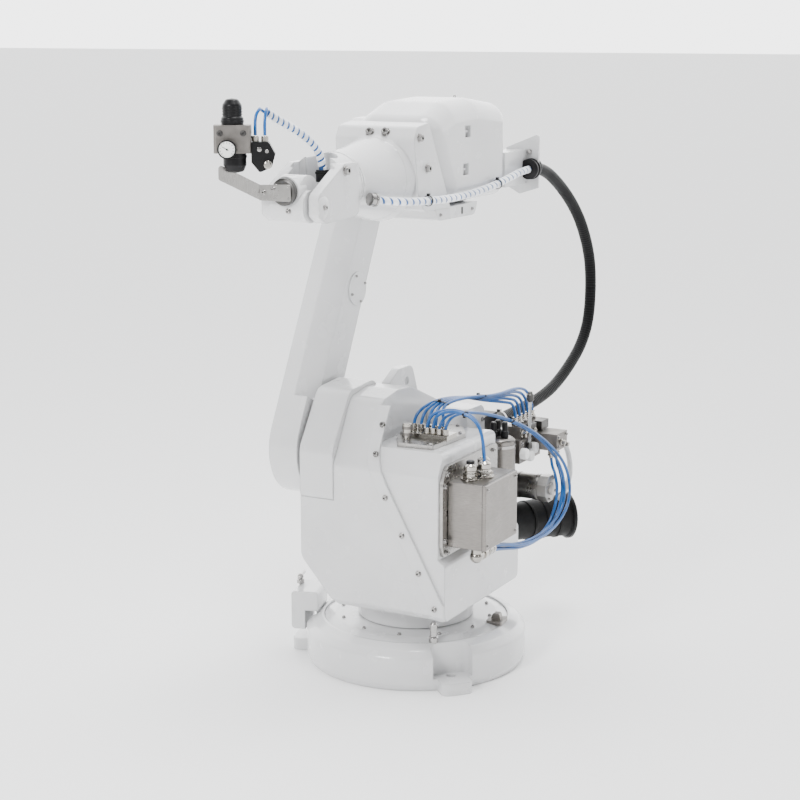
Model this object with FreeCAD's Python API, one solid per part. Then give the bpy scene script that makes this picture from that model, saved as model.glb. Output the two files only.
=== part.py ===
import FreeCAD, Part
import math
import os

# Six-axis floor-standing robot arm, in millimetres.
# +Z is up, +X is the way the forearm points at rest, +Y is the side of the steel junction box.
# The origin is the centre of the three foot bolts, at floor level.

V = FreeCAD.Vector

# Base
RING_R = 285.0
RING_TOP = 98.0
SEAM_R = 246.0
SEAM_Z = 112.0
SEAT_Z = 103.0
COVER_TOP = 116.0
NOTCH_R = 246.0
BOLT_R = 265.0
BOLT_HOLE_R = 11.0
FOOT_ANGLES = (46.4, 166.4, 286.4)
FOOT_W = 80.0
FOOT_TOP = 31.0
FOOT_REACH = 324.0
NOTCH_W = 98.0
STOP_R = 236.0
STOP_ANGLE = 38.0
LATCH_ANGLE = 96.0

# Swivel column
NECK_R = 150.0
TORSO_BOTTOM = 181.0
FRONT_X = 230.0
BACK_X = -205.0
SIDE_Y = 197.0
RECESS_Y = 178.0
RECESS_Z = 338.0
HOUSING_BACK = -96.0
SHELL_Y = -208.0
BEND_Z = 546.0
CROWN_X = 140.0
CROWN_Z = 700.0
CROWN_TOP = 713.0
JOINT_LOW_Y = 180.0
JOINT_BEND_Y = 14.0
JOINT_TOP_Y = -20.0
HOUSING_TOP = 597.0
LUG_Y = -95.0

# Steel boxes on the side housing
PLATE_Y = 188.0
BOX_X0 = 12.0
BOX_X1 = 197.0
BOX_Y1 = 290.0
BOX_Z0 = 366.0
BOX_Z1 = 530.0

# Joint centres
AXIS2_X = 105.0
AXIS2_Z = 560.0
AXIS3_X = -248.0
AXIS3_Z = 1252.0
ROLL_Z = 1256.0
BEND_X = 585.0
BEND_Z5 = 1222.0

# Lower arm
ARM_LENGTH = math.hypot(AXIS3_X - AXIS2_X, AXIS3_Z - AXIS2_Z)
ARM_IN_Y = -216.0
ARM_OUT_Y = -298.0
HUB_R = 128.0
TOP_HUB_R = 118.0
ARM_BACK_LOW = -33.0
ARM_BACK_TOP = -30.0

# Forearm and wrist
TUBE_END_X = 398.0
WRIST_R = 73.0
BARREL_R = 36.0
FLANGE_X = 622.0
REAR_X = -452.0
GLAND_Z = 1236.0

# Rear equipment
MOTOR_X = -318.0
MOTOR_Z = 400.0
MANIFOLD_TOP = 635.0
CLUSTER_Y = 155.0
CLUSTER_TOP = 594.4

# Tool
TOOL_X = 690.0
TOOL_Y = -90.0
TOOL_TURN = 30.0

# Hoses
HOSE_D = 32.0
SLEEVE_D = 19.0
AIR_D = 8.0
WHITE_D = 15.0
HOSE_END = (-330.2, 84, 572)
HOSE_SPLIT = (-898, 109, 856)
COUPLING_X = 60.0


def cylinder(radius, length, base, axis):
    return Part.makeCylinder(radius, length, V(*base), V(*axis))


def cone(r1, r2, length, base, axis):
    return Part.makeCone(r1, r2, length, V(*base), V(*axis))


def block(low, high):
    size = [b - a for a, b in zip(low, high)]
    return Part.makeBox(size[0], size[1], size[2], V(*low))


def turned(shape, angle, centre=(0, 0, 0), axis=(0, 0, 1)):
    moved = shape.copy()
    moved.rotate(V(*centre), V(*axis), angle)
    return moved


def joined(*shapes):
    whole = shapes[0]
    for piece in shapes[1:]:
        whole = whole.fuse(piece)
    return whole.removeSplitter()


def rounded_wire(corners, place):
    """A closed wire through (a, b, radius) corners, each rounded to its radius; place maps (a, b) to 3-D."""
    starts = []
    ends = []
    mids = []
    count = len(corners)
    for i in range(count):
        a0, b0, _ = corners[i - 1]
        a1, b1, radius = corners[i]
        a2, b2, _ = corners[(i + 1) % count]
        here = V(a1, b1, 0)
        back = (V(a0, b0, 0) - here).normalize()
        ahead = (V(a2, b2, 0) - here).normalize()
        half = back.getAngle(ahead) / 2
        if radius <= 0:
            starts.append(here)
            mids.append(None)
            ends.append(here)
            continue
        reach = radius / math.tan(half)
        centre = here + (back + ahead).normalize() * (radius / math.sin(half))
        starts.append(here + back * reach)
        mids.append(centre + (here - centre).normalize() * radius)
        ends.append(here + ahead * reach)
    edges = []
    for i in range(count):
        if mids[i] is not None:
            arc = Part.Arc(place(starts[i]), place(mids[i]), place(ends[i]))
            edges.append(arc.toShape())
        following = starts[(i + 1) % count]
        if (following - ends[i]).Length > 1e-6:
            edges.append(Part.LineSegment(place(ends[i]), place(following)).toShape())
    return Part.Wire(edges)


def slab_xz(corners, y0, y1):
    """A plate with an outline in X-Z, from y0 to y1."""
    wire = rounded_wire(corners, lambda p: V(p.x, y0, p.y))
    return Part.Face(wire).extrude(V(0, y1 - y0, 0))


def slab_yz(corners, x0, x1):
    """A plate with an outline in Y-Z, from x0 to x1."""
    wire = rounded_wire(corners, lambda p: V(x0, p.x, p.y))
    return Part.Face(wire).extrude(V(x1 - x0, 0, 0))


def slab_xy(corners, z0, z1):
    """A plate with an outline in X-Y, from z0 to z1."""
    wire = rounded_wire(corners, lambda p: V(p.x, p.y, z0))
    return Part.Face(wire).extrude(V(0, 0, z1 - z0))


def spun(corners, centre=(0, 0, 0), axis=(0, 0, 1), towards=(1, 0, 0)):
    """A solid of revolution of (radius, height, corner radius) corners about an axis."""
    up = V(*axis).normalize()
    out = V(*towards).normalize()
    foot = V(*centre)
    wire = rounded_wire(corners, lambda p: foot + out * p.x + up * p.y)
    return Part.Face(wire).revolve(foot, up, 360)


def tube(points, diameter, name):
    """A hose along straight runs joined by arcs as large as the runs allow."""
    route = [V(*p) for p in points]
    edges = []
    radii = []
    at = route[0]
    for before, here, after in zip(route, route[1:], route[2:]):
        back = before - here
        ahead = after - here
        turn = math.pi - back.getAngle(ahead)
        shorter = min(back.Length, ahead.Length)
        reach = 0.45 * shorter
        radius = reach / math.tan(turn / 2)
        radii.append(radius)
        back.normalize()
        ahead.normalize()
        start = here + back * reach
        end = here + ahead * reach
        centre = here + (back + ahead).normalize() * math.hypot(radius, reach)
        middle = centre + (here - centre).normalize() * radius
        edges.append(Part.LineSegment(at, start).toShape())
        edges.append(Part.Arc(start, middle, end).toShape())
        at = end
    edges.append(Part.LineSegment(at, route[-1]).toShape())
    path = Part.Wire(edges)
    along = route[1] - route[0]
    section = Part.Wire(Part.Circle(route[0], along, diameter / 2).toShape())
    solid = path.makePipeShell([section], True, False)
    ratio = solid.Volume / (math.pi * diameter ** 2 / 4 * path.Length)
    print(name, "length", round(path.Length), "radii", [round(r) for r in radii], "volume ratio",
          round(ratio, 4))
    return solid


def save(name, shape):
    shape = shape if shape.ShapeType != "Compound" or len(shape.Solids) > 1 else shape.Solids[0]
    if not shape.isValid():
        print("NOT VALID:", name)
    print(name, "solids", len(shape.Solids), "volume", round(shape.Volume))
    shape.exportStep("parts/" + name + ".step")


# ---------------------------------------------------------------- base

def base_casting():
    ring = spun([(0, 0, 0), (RING_R - 7, 0, 0), (RING_R, 16, 6), (RING_R, RING_TOP - 14, 12),
                 (RING_R - 16, RING_TOP + 3, 12), (SEAM_R, SEAM_Z, 4), (SEAM_R - 7, SEAM_Z, 0),
                 (SEAM_R - 7, SEAT_Z, 0), (0, SEAT_Z, 0)])
    half = FOOT_W / 2
    notch = slab_xy([(NOTCH_R, -NOTCH_W / 2, 14), (RING_R + 40, -NOTCH_W / 2 - 4, 0),
                     (RING_R + 40, NOTCH_W / 2 + 4, 0), (NOTCH_R, NOTCH_W / 2, 14)], FOOT_TOP, 140)
    foot = slab_xy([(NOTCH_R - 20, -half, 0), (FOOT_REACH, -half, 18),
                    (FOOT_REACH, half, 18), (NOTCH_R - 20, half, 0)], 0, FOOT_TOP)
    hole = cylinder(BOLT_HOLE_R, 60, (BOLT_R, 0, -10), (0, 0, 1))
    for angle in FOOT_ANGLES:
        ring = ring.cut(turned(notch, angle))
    for angle in FOOT_ANGLES:
        ring = ring.fuse(turned(foot, angle)).cut(turned(hole, angle))
    return ring.removeSplitter()


def base_cover():
    rim = SEAM_R - 8
    return spun([(0, SEAT_Z, 0), (rim, SEAT_Z, 0), (rim, SEAT_Z + 5, 2), (rim - 30, COVER_TOP, 20),
                 (0, COVER_TOP, 0)])


def connector_box():
    """Cable entry box on the ring, over one foot; its underside steps round the ring."""
    front = RING_R + 0.4
    box = slab_xz([(front, 62, 0), (322, 62, 10), (322, 164, 10), (NOTCH_R + 4, 164, 10),
                   (NOTCH_R + 4, SEAM_Z + 0.5, 0), (front, SEAM_Z + 0.5, 0)], -50, 50)
    return turned(box, FOOT_ANGLES[2])


def drain_tap():
    x = 314
    y = -16
    base = 164.3
    stem = cylinder(6, 22, (x, y, base), (0, 0, 1))
    nut = cylinder(10, 9, (x, y, base + 2), (0, 0, 1))
    knob = Part.makeSphere(8, V(x, y, base + 20))
    bar = cylinder(3.5, 60, (x, y - 42, base + 20), (0, 1, 0))
    return turned(joined(stem, nut, knob, bar), FOOT_ANGLES[2])


def stop_pin():
    pin = spun([(0, SEAM_Z - 6, 0), (12, SEAM_Z - 6, 0), (12, 124, 2), (9, 128, 0), (9, 158, 0),
                (6, 163, 0), (0, 163, 0)])
    angle = math.radians(STOP_ANGLE)
    pin.translate(V(STOP_R * math.cos(angle), STOP_R * math.sin(angle), 0))
    return pin.cut(base_casting()).cut(base_cover())


def seam_latch():
    plate = slab_xy([(SEAM_R - 44, -26, 4), (SEAM_R - 2, -26, 4), (SEAM_R - 2, 26, 4),
                     (SEAM_R - 44, 26, 4)], SEAM_Z + 0.2, SEAM_Z + 10)
    hook = slab_xz([(SEAM_R - 36, SEAM_Z + 8, 0), (SEAM_R - 10, SEAM_Z + 8, 0),
                    (SEAM_R - 14, SEAM_Z + 26, 6), (SEAM_R - 32, SEAM_Z + 26, 6)], -9, 9)
    return turned(joined(plate, hook), LATCH_ANGLE).cut(base_cover())


# ---------------------------------------------------------------- swivel column

def swivel_neck():
    top = TORSO_BOTTOM - 0.2
    return spun([(0, COVER_TOP + 1, 0), (NECK_R, COVER_TOP + 1, 3), (NECK_R, 150, 10),
                 (NECK_R + 26, top, 0), (0, top, 0)])


def torso_profile(grow=0.0):
    """Side view of the column above the neck: upright front, face leaning back, rounded crown."""
    front = FRONT_X + grow
    return [(front - 14, TORSO_BOTTOM, 0), (front, TORSO_BOTTOM + 16, 12), (front, BEND_Z, 26),
            (CROWN_X + grow, CROWN_Z, 30),
            (60, CROWN_TOP + grow, 40), (-10, CROWN_TOP - 4 + grow, 40), (-185, 636, 20), (BACK_X, 615, 14),
            (BACK_X, TORSO_BOTTOM, 16)]


def gear_shell():
    """Left half of the column, down to the slanting joint with the side housing."""
    top = CROWN_TOP + 30
    view = [(SHELL_Y, 296, 40), (-108, TORSO_BOTTOM, 10), (JOINT_LOW_Y, TORSO_BOTTOM, 0),
            (JOINT_BEND_Y, 506, 60),
            (JOINT_TOP_Y, 575, 40), (JOINT_TOP_Y, top, 0), (SHELL_Y, top, 0)]
    return slab_xz(torso_profile(), SHELL_Y, SIDE_Y).common(slab_yz(view, BACK_X - 10, FRONT_X + 10))


def side_housing():
    """Right half: box-like and flat topped, its side set back above a ledge to take the steel mounting plate."""
    gap = 0.3
    view = [(JOINT_LOW_Y + gap, TORSO_BOTTOM, 0), (SIDE_Y, TORSO_BOTTOM, 0), (SIDE_Y, RECESS_Z - 14, 12),
            (RECESS_Y, RECESS_Z, 3),
            (RECESS_Y, HOUSING_TOP, 14), (JOINT_TOP_Y + gap, HOUSING_TOP, 0), (JOINT_TOP_Y + gap, 575, 40),
            (JOINT_BEND_Y + gap, 506, 60)]
    housing = slab_xz(torso_profile(-1.0), SHELL_Y, SIDE_Y).common(slab_yz(view, BACK_X, FRONT_X + 10))
    back = slab_xz([(BACK_X - 10, 372, 0), (HOUSING_BACK, 372, 20), (HOUSING_BACK, 700, 0),
                    (BACK_X - 10, 700, 0)], JOINT_TOP_Y - 10, SIDE_Y + 10)
    return housing.cut(back)


def joint_rim():
    """Raised flange strip that follows the slanting joint on the front."""
    inner = [(JOINT_LOW_Y - 6, TORSO_BOTTOM, 0), (JOINT_BEND_Y - 6, 506, 60), (JOINT_TOP_Y - 6, 585, 60),
             (JOINT_TOP_Y - 6, 690, 0),
             (JOINT_TOP_Y + 26, 690, 0), (JOINT_TOP_Y + 26, 585, 40), (JOINT_BEND_Y + 28, 506, 60),
             (SIDE_Y, 222, 10), (SIDE_Y, TORSO_BOTTOM, 10)]
    strip = slab_xz(torso_profile(7.0), SHELL_Y, SIDE_Y).common(slab_yz(inner, 60, FRONT_X + 20))
    return strip.cut(slab_xz(torso_profile(), SHELL_Y - 1, SIDE_Y + 1))


def axis2_ring():
    """Raised reducer flange on the shell's outer side, under the lower arm's hub."""
    pad = slab_xz([(FRONT_X + 4, 430, 40), (FRONT_X + 4, 580, 50), (CROWN_X + 2, 716, 40), (20, 724, 40),
                   (-60, 640, 60), (-60, 430, 60)], SHELL_Y + 1, SHELL_Y + 96)
    return pad.cut(gear_shell())


def lifting_lug():
    plate = slab_xz([(8, 700, 0), (-66, 738, 30), (-138, 738, 26), (-184, 630, 0), (-60, 630, 0)],
                    LUG_Y - 11, LUG_Y + 11)
    eye = cylinder(11, 60, (-108, LUG_Y - 30, 700), (0, 1, 0))
    return plate.cut(gear_shell()).cut(eye)


def rear_hump():
    """Cover of the second-axis motor, behind the side housing."""
    front = HOUSING_BACK - 0.3
    hump = slab_xz([(front, 372.3, 0), (front, 640, 20), (BACK_X, 640, 30), (BACK_X, 372.3, 0)],
                   JOINT_TOP_Y + 0.3, 96)
    return hump.cut(gear_shell()).cut(side_housing())


def valve_plate():
    z = HOUSING_TOP + 0.3
    return slab_xy([(182, 42, 5), (176, 136, 5), (12, 146, 5), (-62, 100, 5), (-62, 2, 5), (98, -4, 5)], z,
                   z + 11)


def valve_manifold():
    """Two rows of push-in air fittings on the valve plate, with a silencer beside them."""
    z = HOUSING_TOP + 11.5
    bar = block((62, 20, z), (118, 146, z + 12))
    silencer = spun([(0, 0, 0), (9, 0, 0), (9, 12, 0), (12, 14, 0), (12, 42, 3), (0, 42, 0)], (146, 50, z))
    pieces = [bar, silencer]
    low = z + 12.2
    for x, y in manifold_places():
        pieces.append(cylinder(8, MANIFOLD_TOP - low, (x, y, low), (0, 0, 1)))
    return Part.makeCompound(pieces)


def manifold_places():
    """Five fittings in the first row, four in the second."""
    return [(76, 34 + 20 * i) for i in range(5)] + [(104, 84 + 17 * i) for i in range(4)]


def box_plate():
    """Steel mounting plate on the housing's side."""
    return slab_xz([(216, 343, 6), (224, 372, 12), (224, 528, 26), (200, 568, 26), (-88, 568, 12),
                    (-88, 343, 12)], RECESS_Y + 0.3, PLATE_Y)


def junction_box():
    body = block((BOX_X0, PLATE_Y + 0.2, BOX_Z0), (BOX_X1, BOX_Y1, BOX_Z1))
    return body.makeFillet(3, body.Edges)


def box_glands():
    pieces = []
    for x, y in ((150, 226), (112, 246), (74, 226)):
        gland = spun([(0, 0, 0), (17, 0, 0), (17, 7, 2), (14, 9, 0), (14, 21, 0), (16, 23, 0), (16, 34, 4),
                      (9, 40, 0), (0, 40, 0)], (x, y, BOX_Z1 + 0.2))
        pieces.append(gland)
    return Part.makeCompound(pieces)


def box_elbow():
    """Pipe elbow under the junction box, with the coupling where the air tubes leave it."""
    z = BOX_Z0 - 30
    drop = cylinder(13, 26, (150, 244, z + 3.8), (0, 0, 1))
    knuckle = Part.makeSphere(16, V(150, 244, z))
    run = cylinder(12, 60, (150, 244, z), (-1, 0, 0))
    nut = cylinder(15, 16, (122, 244, z), (-1, 0, 0))
    coupling = cylinder(13, 98 - COUPLING_X, (98, 244, z), (-1, 0, 0))
    above = cylinder(60, 60, (150, 244, BOX_Z0 - 0.2), (0, 0, 1))
    return joined(drop, knuckle, run, nut, coupling).cut(above)


def filter_canister():
    """Steel canister behind the housing, with three black plugs on its lid."""
    body = spun([(0, 372.3, 0), (38, 372.3, 3), (38, 556, 6), (30, 561, 0), (0, 561, 0)], (-176, 157, 0))
    plugs = [spun([(0, 0, 0), (9, 0, 0), (9, 16, 0), (7, 18, 0), (7, 40, 3), (0, 40, 0)], (x, y, 561.2))
             for x, y in ((-190, 142), (-162, 142), (-176, 168))]
    return Part.makeCompound([body] + plugs)


# ---------------------------------------------------------------- lower arm

def along_arm(shape):
    lean = math.degrees(math.atan2(AXIS3_X - AXIS2_X, AXIS3_Z - AXIS2_Z))
    shape.rotate(V(0, 0, 0), V(0, 1, 0), lean)
    shape.translate(V(AXIS2_X, 0, AXIS2_Z))
    return shape


def lower_arm():
    """Box-section arm, flush with the front of both hubs, with its inner front edge chamfered."""
    bar = slab_xz([(HUB_R, 0, 0), (TOP_HUB_R, ARM_LENGTH, 0), (ARM_BACK_TOP, ARM_LENGTH, 0),
                   (ARM_BACK_LOW, 0, 0)], ARM_OUT_Y, ARM_IN_Y)
    chamfer = Part.makePolygon([V(HUB_R + 2, ARM_IN_Y - 42, 90), V(HUB_R + 2, ARM_IN_Y + 2, 90),
                                V(HUB_R - 58, ARM_IN_Y + 2, 90), V(HUB_R + 2, ARM_IN_Y - 42, 90)])
    cutter = Part.Face(chamfer).extrude(V(TOP_HUB_R - HUB_R, 0, ARM_LENGTH - 90))
    hub = cylinder(HUB_R, ARM_IN_Y - ARM_OUT_Y, (0, ARM_OUT_Y, 0), (0, 1, 0))
    top = cylinder(TOP_HUB_R, ARM_IN_Y - ARM_OUT_Y, (0, ARM_OUT_Y, ARM_LENGTH), (0, 1, 0))
    arm = joined(bar.cut(cutter), hub, top)
    return along_arm(arm)


def hub_cap():
    cap = spun([(0, 0, 0), (104, 0, 0), (104, 8, 3), (90, 14, 6), (0, 16, 0)], (0, ARM_OUT_Y - 0.2, 0),
               (0, -1, 0))
    return along_arm(cap)


def arm_disc_cover():
    disc = spun([(0, 0, 0), (44, 0, 0), (44, 4, 1.5), (0, 5, 0)], (8, ARM_IN_Y + 0.2, 420), (0, 1, 0))
    return along_arm(disc)


# ---------------------------------------------------------------- forearm

def elbow_housing():
    """Third-axis reducer between the lower arm's top hub and the forearm casting."""
    drum = spun([(0, 0, 0), (110, 0, 0), (110, 44, 6), (96, 56, 6), (96, 110, 0), (0, 110, 0)],
                (AXIS3_X, ARM_IN_Y + 6, AXIS3_Z), (0, 1, 0))
    return drum.cut(motor_cover_solid())


def elbow_cover():
    """Rounded motor cover on the forearm's arm side."""
    cover = slab_xz([(-118, 1206, 20), (60, 1206, 30), (60, 1340, 34), (-30, 1382, 40), (-118, 1382, 10)],
                    -196, -118)
    return cover.cut(elbow_housing())


def cover_profile():
    """Side view of the cover over the wrist motors, crowned on top and leaning over the casting's foot."""
    return [(30, 1176, 0), (148, 1386, 40), (20, 1428, 90), (-120, 1434, 120), (-306, 1412, 50),
            (-306, 1176, 20)]


def motor_cover_solid():
    block_shape = slab_xz(cover_profile(), -112, 112)
    tops = [e for e in block_shape.Edges if e.BoundBox.YLength < 0.1 and e.BoundBox.ZMin > 1330]
    return block_shape.makeFillet(52, tops)


def motor_cover():
    """Bulged cover over the wrist motors."""
    cover = motor_cover_solid()
    for x, z in ((-58, 1354), (-48, 1262)):
        cover = cover.cut(block((x - 15, 100, z - 14), (x + 15, 130, z + 14)))
    return cover


def bottom_tray():
    tray = slab_xz([(104, 1175.6, 0), (84, 1146, 20), (-118, 1144, 24), (-132, 1175.6, 0)], -96, 104)
    return tray.cut(forearm_casting())


def forearm_casting():
    """Tapering tube with a square flanged foot bolted to the motor cover."""
    tube = cone(104, 68, 190, (TUBE_END_X - 190, 0, ROLL_Z), (1, 0, 0))
    foot = slab_xz([(29, 1174, 0), (170, 1176, 30), (200, 1215, 20), (222, 1350, 16), (204, 1378, 16),
                    (147, 1385, 0)], -104, 108)
    foot = foot.cut(slab_xz(cover_profile(), -140, 140))
    return joined(tube, foot)


def rear_plate():
    return slab_yz([(40, 1190, 4), (40, 1290, 4), (134, 1328, 6), (134, 1185, 6), (80, 1168, 6)], REAR_X,
                   REAR_X + 8)


def rear_bracket():
    return block((REAR_X + 8.2, 44, 1196), (-306.3, 100, 1286))


def hose_gland():
    bore = HOSE_D / 2 + 0.5
    return spun([(bore, 0, 0), (30, 0, 0), (30, 14, 3), (24, 20, 0), (24, 46, 3), (bore, 46, 0)],
                (REAR_X - 0.2, 100, GLAND_Z), (-1, 0, 0), (0, 1, 0))


# ---------------------------------------------------------------- wrist

def wrist_housing():
    """Hollow roll housing with a fork that carries the bend axis."""
    x0 = TUBE_END_X + 5
    body = cylinder(WRIST_R, 104, (x0, 0, ROLL_Z), (1, 0, 0))
    cheek = slab_xz([(x0 + 20, ROLL_Z - 66, 20), (BEND_X - 10, BEND_Z5 - 37, 20),
                     (BEND_X + 20, BEND_Z5 - 20, 14), (BEND_X + 20, BEND_Z5 + 26, 20),
                     (x0 + 86, ROLL_Z + 54, 20), (x0 + 20, ROLL_Z + 54, 10)], -WRIST_R, WRIST_R)
    slot = block((x0 + 80, -48, 1100), (BEND_X + 90, 48, 1400))
    saddle = cylinder(36, 70, (x0 + 62, 0, ROLL_Z + 10), (0, 0, 1))
    return joined(body, cheek).cut(slot).cut(saddle)


def bend_barrel():
    """Bend-axis drum between the fork's cheeks, with the neck of the tool flange."""
    drum = cylinder(BARREL_R, 86, (BEND_X, -43, BEND_Z5), (0, 1, 0))
    neck = cylinder(33, FLANGE_X - BEND_X - 2, (BEND_X, 0, ROLL_Z), (1, 0, 0))
    hub = cylinder(40, 60, (BEND_X - 10, -30, ROLL_Z - 6), (0, 1, 0))
    return joined(drum, neck, hub)


def tool_flange():
    return spun([(0, 0, 0), (30, 0, 0), (30, 10, 2), (25, 12, 0), (0, 12, 0)], (FLANGE_X, 0, ROLL_Z),
                (1, 0, 0), (0, 1, 0))


# ---------------------------------------------------------------- tool

def at_tool(shape):
    """Places a shape drawn about the regulator's axis, +X towards its gauge."""
    shape.rotate(V(0, 0, 0), V(0, 0, 1), TOOL_TURN)
    shape.translate(V(TOOL_X, TOOL_Y, 0))
    return shape


def tool_bracket():
    """Bent sheet from the flange out to the regulator."""
    x = FLANGE_X + 12.2
    first = slab_yz([(22, ROLL_Z - 20, 6), (22, ROLL_Z + 18, 6), (-58, ROLL_Z + 14, 0),
                     (-58, ROLL_Z - 20, 0)], x, x + 3)
    second = slab_yz([(0, 1236, 0), (0, 1270, 0), (-96, 1318, 6), (-96, 1284, 6)], 0, 3)
    second.rotate(V(0, 0, 0), V(0, 0, 1), 54)
    second.translate(V(x, -58, 0))
    return joined(first, second).cut(regulator_bowl())


def regulator_block():
    block_shape = slab_xy([(-28, -40, 6), (28, -40, 6), (28, 40, 6), (-28, 40, 6)], 1342, 1402)
    return at_tool(block_shape)


def regulator_dome():
    dome = spun([(0, 0, 0), (24, 0, 0), (24, 14, 2), (21, 18, 0), (21, 42, 8), (13, 54, 8), (0, 56, 0)],
                (0, 0, 1402.2))
    return at_tool(dome)


def regulator_bowl():
    bowl = spun([(0, 0, 0), (25, 0, 0), (25, -26, 4), (19, -40, 6), (0, -44, 0)], (0, 4, 1341.8))
    return at_tool(bowl)


def pressure_gauge():
    gauge = spun([(0, 0, 0), (8, 0, 0), (8, 10, 0), (20, 10, 2), (20, 24, 2), (0, 24, 0)],
                 (28.2, -10, 1352), (1, 0, 0), (0, 1, 0))
    return at_tool(gauge)


def valve_body():
    body = slab_yz([(40.2, 1366, 4), (40.2, 1322, 4), (58, 1300, 6), (84, 1312, 6), (92, 1340, 6),
                    (78, 1366, 8)], -18, 18)
    return at_tool(body)


def valve_fittings():
    low = spun([(0, 0, 0), (9, 0, 0), (9, 14, 2), (6, 15, 0), (6, 22, 0), (0, 22, 0)], (18.2, 76, 1318),
               (1, 0, 0), (0, 1, 0))
    high = spun([(0, 0, 0), (8, 0, 0), (8, 12, 2), (0, 12, 0)], (0, 69, 1366.2))
    left = spun([(0, 0, 0), (8, 0, 0), (8, 12, 2), (0, 12, 0)], (0, 48.5, 1366.2))
    return at_tool(Part.makeCompound([low, high, left]))


# ---------------------------------------------------------------- rear equipment

def side_motor():
    """Steel motor standing out behind the housing, with an octagonal end."""
    body = cylinder(34, 95, (MOTOR_X, 119.8, MOTOR_Z), (0, 1, 0))
    rim = [V(MOTOR_X + 38 * math.cos(math.radians(a)), 214.8, MOTOR_Z + 38 * math.sin(math.radians(a)))
           for a in range(22, 383, 45)]
    return joined(body, Part.Face(Part.makePolygon(rim)).extrude(V(0, 25, 0)))


def motor_bracket():
    """Bracket that carries the steel motor and the valves off the column's back."""
    face = BACK_X - 0.3
    reach = MOTOR_X - 36
    return slab_xz([(face, 362, 0), (face, 530, 0), (-300, 530, 14), (reach, 440, 20), (reach, 366, 12)],
                   98, 119.5)


def valve_cluster():
    body = block((-372, 119.8, 478), (-236, 184, 540))
    upper = block((-400, 134, 530), (-256, 176, 572))
    end = block((-400, 176, 500), (-330, 250, 545))
    knobs = [spun([(0, 0, 0), (14, 0, 0), (14, 16, 4), (0, 18, 0)], (x, 184.2, z), (0, 1, 0)) for x,
             z in ((-250, 504), (-284, 492), (-313, 508))]
    return Part.makeCompound([joined(body, upper, end)] + knobs)


def air_fitting(place, direction):
    side = (0, 1, 0) if direction[1] == 0 else (1, 0, 0)
    return spun([(0, 0, 0), (9, 0, 0), (9, 10, 0), (6, 12, 0), (6, 22, 0), (0, 22, 0)], place, direction,
                side)


def cluster_fittings():
    """Push-in fittings: five on top of the valve cluster and two under its end block."""
    pieces = [air_fitting((x, CLUSTER_Y, CLUSTER_TOP - 22), (0, 0, 1)) for x in cluster_places()]
    pieces += [air_fitting((x, 228, 499.8), (0, 0, -1)) for x in (-345, -378)]
    return Part.makeCompound(pieces)


def cluster_places():
    return [-272 - 27 * i for i in range(5)]


def sensor_rod():
    """Clear gauge tube standing on the middle knob."""
    return spun([(0, 0, 0), (4, 0, 0), (4, 130, 0), (6, 132, 0), (9, 136, 0), (9, 150, 2), (5, 154, 0),
                 (5, 158, 1), (0, 158, 0)], (-284, 191, 506.3))


def rubber_boot():
    """Rubber boot over the cables that leave the column's back."""
    rings = [((BACK_X - 0.3, 110, 300), (-1, 0, 0), 46), ((-295, 142, 300), (-1, 0.4, 0), 50),
             ((-380, 190, 298), (-0.8, 0.5, 0), 54),
             ((-446, 232, 296), (-0.7, 0.6, 0), 58)]
    return Part.makeLoft([circle_wire(*ring) for ring in rings], True, False)


def circle_wire(centre, normal, radius):
    return Part.Wire(Part.Circle(V(*centre), V(*normal), radius).toShape())


def hose_socket():
    """Block and black socket that the main hose enters at the column's back."""
    x, y, z = HOSE_END
    foot = block((x + 46, y - 24, z - 26), (BACK_X - 0.3, 95, z + 30))
    ring = cylinder(22, 46, (x, y, z), (1, 0, 0))
    return joined(foot, ring)


# ---------------------------------------------------------------- hoses and tubes

def main_hose_upper():
    """Black hose from the forearm's rear gland to the middle of its loop."""
    return tube([(REAR_X - 0.2, 100, GLAND_Z), (-540, 100, GLAND_Z), (-684, 103, 1168), (-802, 106, 1080),
                 (-872, 108, 984), (-898, 109, 905), HOSE_SPLIT], HOSE_D, "main_hose_upper")


def main_hose_lower():
    """The rest of the loop, down to the socket on the column's back."""
    return tube([HOSE_SPLIT, (-898, 109, 781), (-845, 108, 700), (-745, 104, 640), (-640, 99, 598),
                 (-520, 92, 580), (-405, 86, 573), HOSE_END], HOSE_D, "main_hose_lower")


def forearm_sleeve():
    """Spiral-wrapped bundle along the forearm's side."""
    return tube([(REAR_X + 24.4, 117, GLAND_Z), (-370, 120, 1235), (-290, 124, 1225), (-170, 126, 1210),
                 (-20, 127, 1200),
                 (120, 126, 1201), (240, 121, 1207), (325, 108, 1214), (372, 88, 1221)], SLEEVE_D,
                "forearm_sleeve")


def sleeve_gland():
    return cylinder(15, 16, (REAR_X + 8.2, 117, GLAND_Z), (1, 0, 0))


def sleeve_port():
    """Port on the forearm tube that the spiral-wrapped bundle enters."""
    port = cylinder(15, 18, (372.4, 87.8, 1221.1), (47, -20, 7))
    return port.cut(forearm_casting())


def saddle_gland():
    return cylinder(15, 26, (462, 0, ROLL_Z + 10.2), (0, 0, 1))


def front_sleeve():
    """Spiral-wrapped bundle that rises out of the wrist."""
    return tube([(462, 0, ROLL_Z + 36.4), (463, -1, 1322), (492, -10, 1357), (540, -28, 1388),
                 (584, -44, 1410), (608, -52, 1424)],
                SLEEVE_D, "front_sleeve")


def tool_tubes():
    """Two blue tubes from the bundle down to the valve on the flange."""
    pieces = []
    for side, x, y in ((-1, 665.8, -48), (1, 655.5, -30.2)):
        start = (610.7 - side * 0.6, -52.7 + side * 4.4, 1425.6)
        rise = (622 - side * 3, -55 + side * 6, 1433)
        pieces.append(tube([start, rise, (x - 16, y - side * 3, 1436), (x - 3, y, 1422), (x, y, 1400),
                            (x, y + 0.5, 1378.8)],
                           AIR_D - 1, "tool_tubes"))
    return Part.makeCompound(pieces)


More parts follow.
